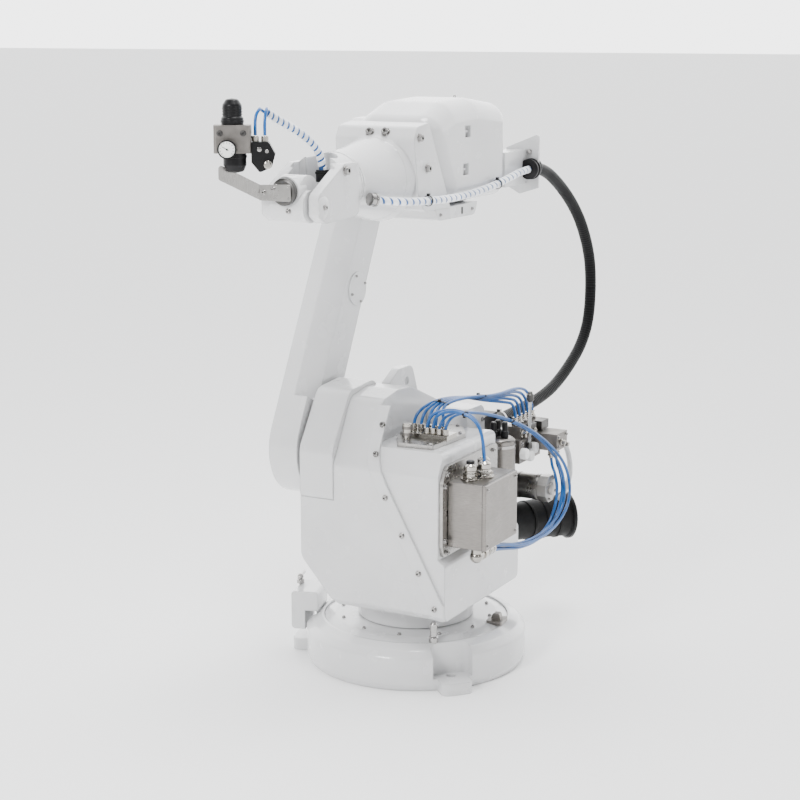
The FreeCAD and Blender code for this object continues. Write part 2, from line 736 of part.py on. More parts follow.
def manifold_runs():
    """Five tubes from the manifold's first row over to the valve cluster."""
    runs = []
    for i in range(5):
        y = 34 + 20 * i
        x = cluster_places()[i]
        runs.append([(76, y, MANIFOLD_TOP + 0.2), (74, y + 1, 654), (58, y * 0.6 + 34, 678), (10, 70 + 9.6 * i, 688),
                     (-80, 88 + 9.6 * i, 680 + i), (-165, 108 + 9 * i, 656 + 4 * i),
                     (x + 40, 140, 642 + 6 * i), (x + 4, CLUSTER_Y - 2, 632), (x, CLUSTER_Y, CLUSTER_TOP + 0.2)])
    return runs


def box_runs():
    """Two tubes from the manifold's second row over the housing's edge to the box's glands."""
    top = BOX_Z1 + 40.4
    return [[(104, 84 + 17 * j, MANIFOLD_TOP + 0.2), (104, 87 + 17 * j, 655), (100 + 12 * j, 106 + 15 * j, 676),
             (97 + 14 * j, 160 + 6 * j, 687), (92 + 18 * j, 208 + 10 * j, 672), (x + 4, y - 2, 630), (x, y, top)]
            for j, x, y in ((0, 74, 226), (1, 112, 246))]


def loop_runs():
    """Two tubes from the second row round the back and forwards again to the coupling under the box."""
    z = BOX_Z0 - 30
    return [[(104, 118 + 17 * j, MANIFOLD_TOP + 0.2), (101, 121 + 17 * j, 653), (80, 132 + 16 * j, 669),
             (10, 150 + 14 * j, 664),
             (-90, 174 + 12 * j, 638), (-190, 206 + 10 * j, 596), (-270, 236 + 10 * j, 540),
             (-330 - 10 * j, 256 + 10 * j, 476),
             (-352 - 14 * j, 266 + 10 * j, 412), (-335 - 12 * j, 271 + 10 * j, 356),
             (-268 - 6 * j, 272 + 9 * j, 322 - 4 * j),
             (-170, 268 + 9 * j, 308 - 4 * j), (-60, 258 + 9 * j, 314 - 2 * j), (10, 245 + 9 * j, 333),
             (COUPLING_X - 0.2, 239 + 10 * j, z + 5)] for j in range(2)]


def riser_runs():
    """Two tubes from the coupling along the bottom and up to the valve cluster's end block."""
    z = BOX_Z0 - 30
    return [[(COUPLING_X - 0.2, 239 + 10 * j, z - 5), (10, 243 + 9 * j, 321), (-80, 250 + 9 * j, 300),
             (-180, 254 + 9 * j, 294),
             (-262 - 8 * j, 256 + 8 * j, 309), (-306 - 14 * j, 258 + 8 * j, 350),
             (-322 - 22 * j, 258 + 6 * j, 400),
             (-340 - 33 * j, 243, 436), (-345 - 33 * j, 230, 457), (-345 - 33 * j, 228, 477.6)]
            for j in range(2)]


def air_tubes():
    """All blue air tubes that stay on the swivel column."""
    return Part.makeCompound([tube(run, AIR_D, "air_tubes")
                              for run in manifold_runs() + box_runs() + loop_runs() + riser_runs()])


def white_hose():
    """White hose that loops down from the valve cluster into the boot."""
    hose = tube([(-400.2, 215, 522), (-428, 217, 519), (-455, 226, 486), (-460, 236, 440), (-444, 242, 398),
                 (-414, 236, 362), (-400, 230, 344)],
                WHITE_D, "white_hose")
    return hose.cut(rubber_boot())


def main():
    os.makedirs("parts", exist_ok=True)
    makers = [base_casting, base_cover, connector_box, drain_tap, stop_pin, seam_latch,
              swivel_neck, gear_shell, side_housing, joint_rim, axis2_ring, lifting_lug, rear_hump,
              valve_plate,
              valve_manifold, box_plate, junction_box, box_glands, box_elbow, filter_canister, side_motor,
              motor_bracket,
              valve_cluster, cluster_fittings, sensor_rod, rubber_boot, hose_socket,
              main_hose_lower, air_tubes, white_hose,
              lower_arm, hub_cap, arm_disc_cover,
              elbow_housing, elbow_cover, motor_cover, bottom_tray, forearm_casting, rear_plate,
              rear_bracket, hose_gland,
              main_hose_upper, forearm_sleeve, sleeve_gland, sleeve_port,
              wrist_housing, saddle_gland, front_sleeve, tool_tubes, bend_barrel, tool_flange, tool_bracket,
              regulator_block, regulator_dome, regulator_bowl,
              pressure_gauge, valve_body, valve_fittings]
    for maker in makers:
        save(maker.__name__, maker())


main()
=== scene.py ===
import math

import bpy
import bmesh
from mathutils import Matrix, Vector


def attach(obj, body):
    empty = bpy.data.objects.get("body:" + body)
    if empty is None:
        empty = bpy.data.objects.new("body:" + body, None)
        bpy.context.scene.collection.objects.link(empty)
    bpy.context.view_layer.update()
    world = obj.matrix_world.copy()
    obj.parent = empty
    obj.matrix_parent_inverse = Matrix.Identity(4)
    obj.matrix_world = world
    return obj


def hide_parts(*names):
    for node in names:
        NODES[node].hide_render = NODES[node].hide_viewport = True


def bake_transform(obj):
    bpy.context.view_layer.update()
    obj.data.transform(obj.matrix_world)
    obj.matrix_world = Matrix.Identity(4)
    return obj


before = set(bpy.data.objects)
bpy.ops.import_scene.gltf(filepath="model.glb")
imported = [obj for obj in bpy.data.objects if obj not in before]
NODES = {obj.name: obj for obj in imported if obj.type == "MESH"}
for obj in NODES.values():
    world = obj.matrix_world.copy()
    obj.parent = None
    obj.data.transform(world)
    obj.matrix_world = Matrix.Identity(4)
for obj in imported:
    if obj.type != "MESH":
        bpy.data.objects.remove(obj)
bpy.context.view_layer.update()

MM = 0.001


def vec(x, y, z):
    """A point given in millimetres, in metres."""
    return Vector((x, y, z)) * MM


# ------------------------------------------------------------------ camera

CAMERA_AT = vec(3967.1, 2053.4, 1616.6)
CAMERA_HEADING = math.radians(27.9)
CAMERA_PITCH = math.radians(11.883)
CAMERA_LENS = 80.69
CAMERA_REACH = 250


def add_camera():
    """The kept view, from the front and the junction box's side."""
    level = math.cos(CAMERA_PITCH)
    forward = Vector((-math.cos(CAMERA_HEADING) * level, -math.sin(CAMERA_HEADING) * level,
                      -math.sin(CAMERA_PITCH)))
    camera = bpy.data.objects.new("camera", bpy.data.cameras.new("camera"))
    camera.data.lens = CAMERA_LENS
    camera.data.sensor_width = 36
    camera.data.clip_end = CAMERA_REACH
    camera.location = CAMERA_AT
    camera.rotation_euler = forward.to_track_quat("-Z", "Y").to_euler()
    bpy.context.scene.collection.objects.link(camera)
    bpy.context.scene.camera = camera


# ------------------------------------------------------------------ materials

def new_material(name, color, roughness, metallic=0.0):
    """A material and its shader node."""
    material = bpy.data.materials.new(name)
    material.use_nodes = True
    shader = material.node_tree.nodes["Principled BSDF"]
    shader.inputs["Base Color"].default_value = (*color, 1)
    shader.inputs["Roughness"].default_value = roughness
    shader.inputs["Metallic"].default_value = metallic
    return material, shader


def noise(material, scale, detail=4, stretch=(1, 1, 1)):
    """Noise on object coordinates, stretched along an axis for brushed metal."""
    nodes = material.node_tree.nodes
    links = material.node_tree.links
    place = nodes.new("ShaderNodeTexCoord")
    mapping = nodes.new("ShaderNodeMapping")
    mapping.inputs["Scale"].default_value = stretch
    texture = nodes.new("ShaderNodeTexNoise")
    texture.inputs["Scale"].default_value = scale
    texture.inputs["Detail"].default_value = detail
    links.new(place.outputs["Object"], mapping.inputs["Vector"])
    links.new(mapping.outputs["Vector"], texture.inputs["Vector"])
    return texture.outputs["Fac"]


def ramp(material, value, stops):
    """Colours along a value: stops are (position, colour)."""
    node = material.node_tree.nodes.new("ShaderNodeValToRGB")
    elements = node.color_ramp.elements
    while len(elements) < len(stops):
        elements.new(0.5)
    for element, (position, color) in zip(elements, stops):
        element.position = position
        element.color = (*color, 1)
    material.node_tree.links.new(value, node.inputs["Fac"])
    return node.outputs["Color"]


def grey(value):
    return (value, value, value)


def add_bump(material, shader, height, strength, distance, edge_radius=0.0):
    """A bump, and edges that are rounded when they are shaded."""
    nodes = material.node_tree.nodes
    links = material.node_tree.links
    bump = nodes.new("ShaderNodeBump")
    bump.inputs["Strength"].default_value = strength
    bump.inputs["Distance"].default_value = distance
    links.new(height, bump.inputs["Height"])
    if edge_radius > 0:
        bevel = nodes.new("ShaderNodeBevel")
        bevel.samples = 6
        bevel.inputs["Radius"].default_value = edge_radius
        links.new(bevel.outputs["Normal"], bump.inputs["Normal"])
    links.new(bump.outputs["Normal"], shader.inputs["Normal"])


def paint_material(name, color, edge_radius):
    """Glossy enamel on a casting: a slow waviness, fine orange peel, faint handling marks."""
    material, shader = new_material(name, color, 0.22)
    links = material.node_tree.links
    marks = noise(material, 7, 6)
    tint = [c * 0.95 for c in color]
    links.new(ramp(material, marks, [(0.32, tint), (0.6, color)]), shader.inputs["Base Color"])
    links.new(ramp(material, noise(material, 16, 5), [(0.3, grey(0.16)), (0.75, grey(0.32))]),
              shader.inputs["Roughness"])
    shader.inputs["Coat Weight"].default_value = 0.6
    shader.inputs["Coat Roughness"].default_value = 0.06
    add_bump(material, shader, noise(material, 24, 3), 0.22, 0.0022, edge_radius)
    return material


def metal_material(name, color, roughness, stretch, strength=0.12, edge_radius=0.001):
    """Brushed or cast metal: streaks along one axis in colour, roughness and bump."""
    material, shader = new_material(name, color, roughness, 1.0)
    links = material.node_tree.links
    streaks = noise(material, 60, 6, stretch)
    dark = [c * 0.8 for c in color]
    links.new(ramp(material, streaks, [(0.3, dark), (0.7, color)]), shader.inputs["Base Color"])
    rough = noise(material, 22, 4)
    links.new(ramp(material, rough, [(0.3, grey(roughness * 0.75)), (0.75, grey(roughness * 1.25))]),
              shader.inputs["Roughness"])
    add_bump(material, shader, streaks, strength, 0.0006, edge_radius)
    return material


def rubber_material(name, color, roughness, scale=90, edge_radius=0.001):
    """Black rubber or moulded plastic with a fine grain and paler worn patches."""
    material, shader = new_material(name, color, roughness)
    links = material.node_tree.links
    pale = [c * 1.6 for c in color]
    links.new(ramp(material, noise(material, 12, 5), [(0.4, color), (0.8, pale)]),
              shader.inputs["Base Color"])
    if color[0] < 0.1:
        shader.inputs["Specular IOR Level"].default_value = 0.22
    links.new(ramp(material, noise(material, 30, 4), [(0.3, grey(roughness * 0.8)),
                                                      (0.8, grey(min(1, roughness * 1.2)))]),
              shader.inputs["Roughness"])
    add_bump(material, shader, noise(material, scale, 3), 0.25, 0.0006, edge_radius)
    return material


def tube_material(name, color, roughness, see_through):
    """Polyurethane tube: deep colour with a sheen and slight see-through."""
    material, shader = new_material(name, color, roughness)
    links = material.node_tree.links
    deep = [c * 0.7 for c in color]
    links.new(ramp(material, noise(material, 18, 3), [(0.35, deep), (0.7, color)]),
              shader.inputs["Base Color"])
    shader.inputs["Transmission Weight"].default_value = see_through
    shader.inputs["Coat Weight"].default_value = 0.12
    add_bump(material, shader, noise(material, 70, 2), 0.08, 0.0004)
    return material


def hose_material():
    """Black protective hose with fine ribs that follow the tube's own coordinates; the grooves between the
    ribs are painted darker, as painted shade.
    """
    material, shader = new_material("hose_black", (0.012, 0.012, 0.013), 0.38)
    nodes = material.node_tree.nodes
    links = material.node_tree.links
    place = nodes.new("ShaderNodeUVMap")
    place.uv_map = "tube"
    wave = nodes.new("ShaderNodeTexWave")
    wave.bands_direction = "X"
    wave.inputs["Scale"].default_value = 40
    wave.inputs["Distortion"].default_value = 0.4
    links.new(place.outputs["UV"], wave.inputs["Vector"])
    # Colour follows the rib wave, darker in the grooves than on the ridges: painted shade.
    tint = ramp(material, wave.outputs["Fac"], [(0.3, (0.002, 0.002, 0.002)), (0.8, (0.009, 0.009, 0.01))])
    links.new(tint, shader.inputs["Base Color"])
    shader.inputs["Specular IOR Level"].default_value = 0.12
    links.new(ramp(material, noise(material, 14, 5), [(0.3, grey(0.45)), (0.75, grey(0.62))]),
              shader.inputs["Roughness"])
    add_bump(material, shader, wave.outputs["Fac"], 0.5, 0.0012)
    return material


PAINT = (0.66, 0.662, 0.668)

WHITE = paint_material("enamel_white", PAINT, 0.006)
WHITE_SMALL = paint_material("enamel_white_small", PAINT, 0.0025)
STEEL = metal_material("steel_brushed", (0.25, 0.235, 0.22), 0.34, (1, 1, 12))
STEEL_PLATE = metal_material("steel_plate", (0.40, 0.39, 0.375), 0.30, (10, 1, 1))
CAST_METAL = metal_material("metal_cast", (0.24, 0.225, 0.21), 0.42, (1, 1, 1), 0.3)
ZINC = metal_material("zinc_bright", (0.42, 0.41, 0.40), 0.22, (1, 1, 3), 0.08, 0.0006)
NICKEL = metal_material("nickel", (0.44, 0.42, 0.385), 0.2, (1, 1, 1), 0.1, 0.0006)
DARK_METAL = metal_material("metal_dark", (0.10, 0.098, 0.095), 0.38, (6, 1, 1))
BLACK = rubber_material("plastic_black", (0.004, 0.004, 0.0045), 0.36)
BOOT = rubber_material("rubber_black", (0.0035, 0.0035, 0.0035), 0.62, 140)
BLUE = tube_material("tube_blue", (0.001, 0.10, 0.36), 0.3, 0.0)
MILKY = tube_material("tube_milky", (0.82, 0.83, 0.84), 0.3, 0.25)
CLEAR = tube_material("tube_clear", (0.90, 0.92, 0.94), 0.12, 0.7)
SPIRAL = rubber_material("wrap_white", (0.80, 0.82, 0.86), 0.35, 60, 0.0005)
KNOB_WHITE = rubber_material("plastic_white", (0.80, 0.80, 0.79), 0.4, 60)
HOSE = hose_material()
# Dark grey for thin plates put where slots and holes show only shade: painted shade.
SHADE = rubber_material("recess_painted_shade", (0.06, 0.06, 0.06), 0.7)
DIAL = rubber_material("dial_white", (0.75, 0.76, 0.74), 0.35, 60)


# ------------------------------------------------------------------ mesh helpers


def mesh_object(name, mesh_data, material, body, smooth_angle=35.0):
    """A mesh as an object that rides a body and has its record material."""
    mesh = bpy.data.meshes.new(name)
    mesh_data.to_mesh(mesh)
    mesh_data.free()
    mesh.materials.append(material)
    thing = bpy.data.objects.new(name, mesh)
    bpy.context.scene.collection.objects.link(thing)
    shade_by_angle(thing, smooth_angle)
    if body is not None:
        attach(thing, body)
    return thing


def shade_by_angle(thing, degrees):
    """Smooth shading, with edges sharper than the angle kept sharp."""
    mesh = thing.data
    mesh.polygons.foreach_set("use_smooth", [True] * len(mesh.polygons))
    mesh.set_sharp_from_angle(angle=math.radians(degrees))
    mesh.update()


def facing(place, axis):
    """A matrix that stands a piece drawn along +Z on a place, along an axis."""
    return Matrix.Translation(place) @ Vector(axis).normalized().to_track_quat("Z", "Y").to_matrix().to_4x4()


def add_lathe(shape, profile, matrix, steps=32):
    """Adds a turned piece: the profile is (radius, height) points in metres, along +Z."""
    rings = []
    for radius, height in profile:
        if radius <= 0:
            rings.append([shape.verts.new(matrix @ Vector((0, 0, height)))])
            continue
        angles = [2 * math.pi * i / steps for i in range(steps)]
        rings.append([shape.verts.new(matrix @ Vector((radius * math.cos(a), radius * math.sin(a), height)))
                      for a in angles])
    for low, high in zip(rings, rings[1:]):
        for i in range(steps):
            j = (i + 1) % steps
            corners = [low[i % len(low)], low[j % len(low)], high[j % len(high)], high[i % len(high)]]
            unique = list(dict.fromkeys(corners))
            if len(unique) > 2:
                shape.faces.new(unique)


def add_box(shape, low, high, matrix=Matrix.Identity(4)):
    """Adds a block from its low to its high corner, in metres."""
    places = [(x, y, z) for x in (low[0], high[0]) for y in (low[1], high[1]) for z in (low[2], high[2])]
    corners = [shape.verts.new(matrix @ Vector(place)) for place in places]
    for face in ((0, 1, 3, 2), (4, 6, 7, 5), (0, 4, 5, 1), (2, 3, 7, 6), (0, 2, 6, 4), (1, 5, 7, 3)):
        shape.faces.new([corners[i] for i in face])


def add_screw(shape, place, axis, radius):
    """A socket-head screw with a washer and a hexagon socket; place is on the surface, in millimetres."""
    r = radius * MM
    top = r * 1.15
    matrix = facing(vec(*place), axis)
    add_lathe(shape, [(0, -r * 0.2), (r * 1.35, -r * 0.2), (r * 1.35, r * 0.12), (r * 1.28, r * 0.2),
                      (r, r * 0.2)], matrix, 24)
    add_lathe(shape, [(r, r * 0.2), (r, top * 0.88), (r * 0.88, top), (r * 0.56, top)], matrix, 24)
    add_lathe(shape, [(r * 0.56, top), (r * 0.5, top * 0.97), (r * 0.5, top * 0.45), (0, top * 0.45)],
              matrix, 6)


def add_hex_bolt(shape, place, axis, radius):
    """A hexagon-head bolt on a washer."""
    r = radius * MM
    matrix = facing(vec(*place), axis)
    add_lathe(shape, [(0, 0), (r * 1.3, 0), (r * 1.3, r * 0.18), (r * 0.9, r * 0.18)], matrix, 28)
    add_lathe(shape, [(r, r * 0.18), (r, r * 0.8), (r * 0.85, r * 0.95), (0, r * 0.95)], matrix, 6)


def screws(name, body, places, axis, radius, material=None, kind=add_screw):
    """One joined piece that holds several screws facing one way."""
    shape = bmesh.new()
    for place in places:
        kind(shape, place, axis, radius)
    return mesh_object(name, shape, material or ZINC, body, 30)


# ------------------------------------------------------------------ cords

def bspline(points, per_span=14):
    """Points on the open quadratic B-spline with these given points, which meets its first and last one."""
    count = len(points)
    knots = [0, 0] + list(range(count - 1)) + [count - 2, count - 2]
    curve = []
    for span in range(count - 2):
        for step in range(per_span + (span == count - 3)):
            t = span + step / per_span
            level = [points[span + i].copy() for i in range(3)]
            for depth in (1, 2):
                for i in range(2, depth - 1, -1):
                    k = span + i
                    low = knots[k]
                    high = knots[k + 3 - depth]
                    share = (t - low) / (high - low) if high > low else 0.0
                    level[i] = level[i - 1].lerp(level[i], share)
            curve.append(level[2])
    return curve


def length_of(curve):
    """Length of a line of points."""
    return sum((b - a).length for a, b in zip(curve, curve[1:]))


def frames_along(curve):
    """Two steady sideways directions at each point of a curve, with no twist between them."""
    frames = []
    ahead = (curve[1] - curve[0]).normalized()
    side = ahead.orthogonal().normalized()
    for i, point in enumerate(curve):
        before = curve[max(i - 1, 0)]
        after = curve[min(i + 1, len(curve) - 1)]
        along = (after - before).normalized()
        side = (side - along * side.dot(along)).normalized()
        frames.append((point, along, side, along.cross(side)))
    return frames


def tube_mesh(name, curve, diameter, material, steps=20):
    """A hose as a mesh, with coordinates along it in metres and round it from 0 to 1."""
    shape = bmesh.new()
    uv = shape.loops.layers.uv.new("tube")
    radius = diameter / 2
    rings = []
    travel = [0.0]
    for a, b in zip(curve, curve[1:]):
        travel.append(travel[-1] + (b - a).length)
    for point, along, side, lift in frames_along(curve):
        angles = [2 * math.pi * k / steps for k in range(steps)]
        rings.append([shape.verts.new(point + (side * math.cos(a) + lift * math.sin(a)) * radius)
                      for a in angles])
    for i, (low, high) in enumerate(zip(rings, rings[1:])):
        for k in range(steps):
            face = shape.faces.new([low[k], low[(k + 1) % steps], high[(k + 1) % steps], high[k]])
            spots = [(travel[i], k / steps), (travel[i], (k + 1) / steps), (travel[i + 1], (k + 1) / steps),
                     (travel[i + 1], k / steps)]
            for loop, spot in zip(face.loops, spots):
                loop[uv].uv = spot
    shape.faces.new(list(reversed(rings[0])))
    shape.faces.new(rings[-1])
    return mesh_object(name, shape, material, None, 60)


def wrap_mesh(name, curve, inner, outer, pitch, width, material, turn_steps=18):
    """A spiral band wound round a bundle."""
    shape = bmesh.new()
    frames = frames_along(curve)
    travel = [0.0]
    for a, b in zip(curve, curve[1:]):
        travel.append(travel[-1] + (b - a).length)
    total = travel[-1]
    count = int(total / pitch * turn_steps)
    rows = []
    for n in range(count + 1):
        angle = 2 * math.pi * n / turn_steps
        row = []
        for offset, radius in ((0, inner), (width * 0.12, outer), (width * 0.88, outer), (width, inner)):
            reach = min(max(total * n / count - width / 2 + offset, 0), total)
            k = next((i for i in range(1, len(travel)) if travel[i] >= reach), len(travel) - 1)
            share = (reach - travel[k - 1]) / (travel[k] - travel[k - 1])
            point = frames[k - 1][0].lerp(frames[k][0], share)
            side = frames[k - 1][2].lerp(frames[k][2], share).normalized()
            lift = frames[k - 1][3].lerp(frames[k][3], share).normalized()
            row.append(shape.verts.new(point + (side * math.cos(angle) + lift * math.sin(angle)) * radius))
        rows.append(row)
    for low, high in zip(rows, rows[1:]):
        for k in range(3):
            shape.faces.new([low[k], low[k + 1], high[k + 1], high[k]])
    return mesh_object(name, shape, material, None, 50)


def nurbs_tube(name, points, diameter, material, body, node):
    """A free tube that stays on one body."""
    curve = bpy.data.curves.new(name, "CURVE")
    curve.dimensions = "3D"
    curve.bevel_depth = diameter / 2
    curve.bevel_resolution = 5
    curve.resolution_u = 14
    curve.use_fill_caps = True
    spline = curve.splines.new("NURBS")
    spline.points.add(len(points) - 1)
    for point, place in zip(spline.points, points):
        point.co = (*place, 1)
    spline.order_u = 3
    spline.use_endpoint_u = True
    curve.materials.append(material)
    thing = bpy.data.objects.new(name, curve)
    bpy.context.scene.collection.objects.link(thing)
    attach(thing, body)
    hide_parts(node)
    length_of(bspline(points))
    return thing


HOSE_D = 32 * MM
SLEEVE_D = 19 * MM
CORE_D = 16 * MM
FRONT_WRAP = (16 * MM, 11.5 * MM)
FOREARM_WRAP = (26 * MM, 19.5 * MM)
AIR_D = 8 * MM
WHITE_D = 15 * MM

HOSE_SPLIT = (-898, 109, 856)
GLAND = (-452.2, 100, 1236)
SOCKET = (-330.2, 84, 572)
UPPER_HOSE = [GLAND, (-540, 100, 1236), (-684, 103, 1168), (-802, 106, 1080), (-872, 108, 984),
              (-898, 109, 905), HOSE_SPLIT]
LOWER_HOSE = [HOSE_SPLIT, (-898, 109, 781), (-845, 108, 700), (-745, 104, 640), (-640, 99, 598),
              (-520, 92, 580), (-405, 86, 573), SOCKET]
FOREARM_SLEEVE = [(-427.6, 117, 1236), (-370, 120, 1235), (-290, 124, 1225), (-170, 126, 1210),
                  (-20, 127, 1200), (120, 126, 1201), (240, 121, 1207), (325, 108, 1214), (372, 88, 1221)]
FRONT_SLEEVE = [(462, 0, 1292.4), (463, -1, 1322), (492, -10, 1357), (540, -28, 1388), (584, -44, 1410),
                (608, -52, 1424)]
WHITE_LOOP = [(-400.2, 215, 522), (-428, 217, 519), (-455, 226, 486), (-460, 236, 440), (-444, 242, 398),
              (-414, 236, 362), (-400, 230, 344)]
MANIFOLD_TOP = 635.2
CLUSTER = [-272 - 27 * i for i in range(5)]
COUPLING_X = 59.8
ELBOW_Z = 336


def manifold_runs():
    """Five tubes from the manifold to the valve cluster."""
    runs = []
    for i, x in enumerate(CLUSTER):
        y = 34 + 20 * i
        runs.append([(76, y, MANIFOLD_TOP), (74, y + 1, 654), (58, y * 0.6 + 34, 678),
                     (10, 70 + 9.6 * i, 688), (-80, 88 + 9.6 * i, 680 + i),
                     (-165, 108 + 9 * i, 656 + 4 * i), (x + 40, 140, 642 + 6 * i), (x + 4, 153, 632),
                     (x, 155, 594.6)])
    return runs


def box_runs():
    """Two tubes from the manifold to the junction box."""
    runs = []
    for j, x, y in ((0, 74, 226), (1, 112, 246)):
        runs.append([(104, 84 + 17 * j, MANIFOLD_TOP), (104, 87 + 17 * j, 655),
                     (100 + 12 * j, 106 + 15 * j, 676), (97 + 14 * j, 160 + 6 * j, 687),
                     (92 + 18 * j, 208 + 10 * j, 672), (x + 4, y - 2, 630), (x, y, 570.4)])
    return runs


def loop_runs():
    """Two tubes from the manifold round the back to the coupling."""
    runs = []
    for j in range(2):
        runs.append([(104, 118 + 17 * j, MANIFOLD_TOP), (101, 121 + 17 * j, 653), (80, 132 + 16 * j, 669),
                     (10, 150 + 14 * j, 664), (-90, 174 + 12 * j, 638), (-190, 206 + 10 * j, 596),
                     (-270, 236 + 10 * j, 540), (-330 - 10 * j, 256 + 10 * j, 476),
                     (-352 - 14 * j, 266 + 10 * j, 412), (-335 - 12 * j, 271 + 10 * j, 356),
                     (-268 - 6 * j, 272 + 9 * j, 322 - 4 * j), (-170, 268 + 9 * j, 308 - 4 * j),
                     (-60, 258 + 9 * j, 314 - 2 * j), (10, 245 + 9 * j, 333),
                     (COUPLING_X, 239 + 10 * j, ELBOW_Z + 5)])
    return runs


def riser_runs():
    """Two tubes from the coupling up to the valve cluster."""
    runs = []
    for j in range(2):
        runs.append([(COUPLING_X, 239 + 10 * j, ELBOW_Z - 5), (10, 243 + 9 * j, 321), (-80, 250 + 9 * j, 300),
                     (-180, 254 + 9 * j, 294), (-262 - 8 * j, 256 + 8 * j, 309),
                     (-306 - 14 * j, 258 + 8 * j, 350), (-322 - 22 * j, 258 + 6 * j, 400),
                     (-340 - 33 * j, 243, 436), (-345 - 33 * j, 230, 457), (-345 - 33 * j, 228, 477.6)])
    return runs


def tool_runs():
    """Two tubes from the front bundle down to the valve."""
    runs = []
    for side, x, y in ((-1, 665.8, -48), (1, 655.5, -30.2)):
        start = (610.7 - side * 0.6, -52.7 + side * 4.4, 1425.6)
        rise = (622 - side * 3, -55 + side * 6, 1433)
        runs.append([start, rise, (x - 16, y - side * 3, 1436), (x - 3, y, 1422), (x, y, 1400),
                     (x, y + 0.5, 1378.8)])
    return runs


def placed(points):
    """Given points as vectors in metres."""
    return [vec(*p) for p in points]


def bending_cord(name, points, diameter, material, node, band_d=None):
    """A cord that crosses a joint: a mesh tube fixed in the shared frame, on no body."""
    hand = placed(points)
    curve = bspline(hand)
    thing = tube_mesh(name, curve, diameter, material)
    pieces = [thing]
    if band_d is not None:
        pieces.append(wrap_mesh(name + "_wrap", curve, diameter / 2 * 0.97, band_d / 2, *FRONT_WRAP, SPIRAL))
    for piece in pieces:
        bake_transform(piece)
    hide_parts(node)
    return thing


def add_cords():
    """All hoses and tubes, each in place of its CAD node."""
    bending_cord("hose_upper", UPPER_HOSE, HOSE_D, HOSE, "main_hose_upper")
    bending_cord("hose_lower", LOWER_HOSE, HOSE_D, HOSE, "main_hose_lower")
    bending_cord("sleeve_front", FRONT_SLEEVE, CORE_D, BLUE, "front_sleeve",
                 SLEEVE_D)
    for i, run in enumerate(tool_runs()):
        bending_cord("tool_tube_%d" % (i + 1), run, 7 * MM, BLUE, "tool_tubes")
    hand = placed(FOREARM_SLEEVE)
    curve = bspline(hand)
    core = tube_mesh("sleeve_forearm", curve, CORE_D, BLUE)
    wrap = wrap_mesh("sleeve_forearm_wrap", curve, CORE_D / 2 * 0.97, SLEEVE_D / 2, *FOREARM_WRAP, SPIRAL)
    for piece in (core, wrap):
        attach(piece, "forearm")
    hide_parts("forearm_sleeve")
    groups = (("tube_top", manifold_runs()), ("tube_box", box_runs()), ("tube_loop", loop_runs()),
              ("tube_riser", riser_runs()))
    for name, runs in groups:
        for i, run in enumerate(runs):
            nurbs_tube("%s_%d" % (name, i + 1), placed(run), AIR_D, BLUE, "torso", "air_tubes")
    nurbs_tube("hose_white", placed(WHITE_LOOP), WHITE_D, MILKY, "torso", "white_hose")


# ------------------------------------------------------------------ small details

def part_of(name, body, material, *rings):
    """Turned pieces joined in one: each ring is (place in mm, axis, profile in mm)."""
    shape = bmesh.new()
    for place, axis, profile in rings:
        add_lathe(shape, [(r * MM, h * MM) for r, h in profile], facing(vec(*place), axis))
    return mesh_object(name, shape, material, body, 32)


def band(radius, width, thick=1.0):
    """Section of a raised band on a round piece of this radius."""
    return [(radius - 1, -width / 2), (radius + thick, -width / 2 + 0.5), (radius + thick, width / 2 - 0.5),
            (radius - 1, width / 2)]


def plates(name, body, material, *boxes):
    """Small blocks joined in one, each from its low to its high corner in millimetres."""
    shape = bmesh.new()
    for low, high in boxes:
        add_box(shape, vec(*low), vec(*high))
    return mesh_object(name, shape, material, body)


def tie(shape, centre, along, across, half_width, half_height):
    """A cable tie: a flat band round a bundle, with its lock on top."""
    along = Vector(along).normalized()
    across = (Vector(across) - along * along.dot(Vector(across))).normalized()
    up = along.cross(across)
    middle = vec(*centre)
    loops = []
    for i in range(28):
        angle = 2 * math.pi * i / 28
        out = across * math.cos(angle) * half_width * MM + up * math.sin(angle) * half_height * MM
        grown = out + out.normalized() * 1.6 * MM
        loops.append([shape.verts.new(middle + o + along * shift) for o, shift in
                      ((out, -0.0024), (grown, -0.0024), (grown, 0.0024), (out, 0.0024))])
    for low, high in zip(loops, loops[1:] + loops[:1]):
        for k in range(4):
            shape.faces.new([low[k], low[(k + 1) % 4], high[(k + 1) % 4], high[k]])
    lock = Matrix.Translation(middle + up * (half_height + 2) * MM)
    add_box(shape, (-0.004, -0.003, -0.003), (0.004, 0.003, 0.004), lock)


def add_ties():
    """Cable ties on the tube bundles and the forearm sleeve."""
    shape = bmesh.new()
    tie(shape, (34, 83.8, 683), (1, -0.15, -0.2), (0, 1, 0), 26.5, 5)
    tie(shape, (-122.5, 116.6, 673), (1, -0.2, 0.2), (0, 1, 0.27), 24, 5)
    tie(shape, (102.5, 188, 679.5), (0.04, 1, -0.3), (1, 0, 0), 12.5, 5)
    tie(shape, (-140, 200, 617), (1, -0.3, 0.42), (0, 1, 0), 11, 5)
    mesh_object("cable_ties", shape, BLACK, "torso")
    shape = bmesh.new()
    tie(shape, (-205, 125.8, 1214), (1, 0, -0.1), (0, 1, 0), 11.5, 11.5)
    tie(shape, (180, 124, 1204), (1, -0.05, 0.05), (0, 1, 0), 11.5, 11.5)
    mesh_object("sleeve_ties", shape, BLACK, "forearm")


def add_base_details():
    """Screws on the base and a band on the neck."""
    ring = [(195 * math.cos(math.radians(a)), 195 * math.sin(math.radians(a)), 115.6)
            for a in range(15, 375, 30)]
    screws("base_cover_screws", "base", ring, (0, 0, 1), 4.5)
    part_of("neck_bands", "torso", WHITE_SMALL, ((0, 0, 156), (0, 0, 1), band(150.6, 5, 1.2)))


def joint_y(z):
    """Middle of the slanting joint strip at a height."""
    return 180 - (z - 181) * 166 / 325 + 10


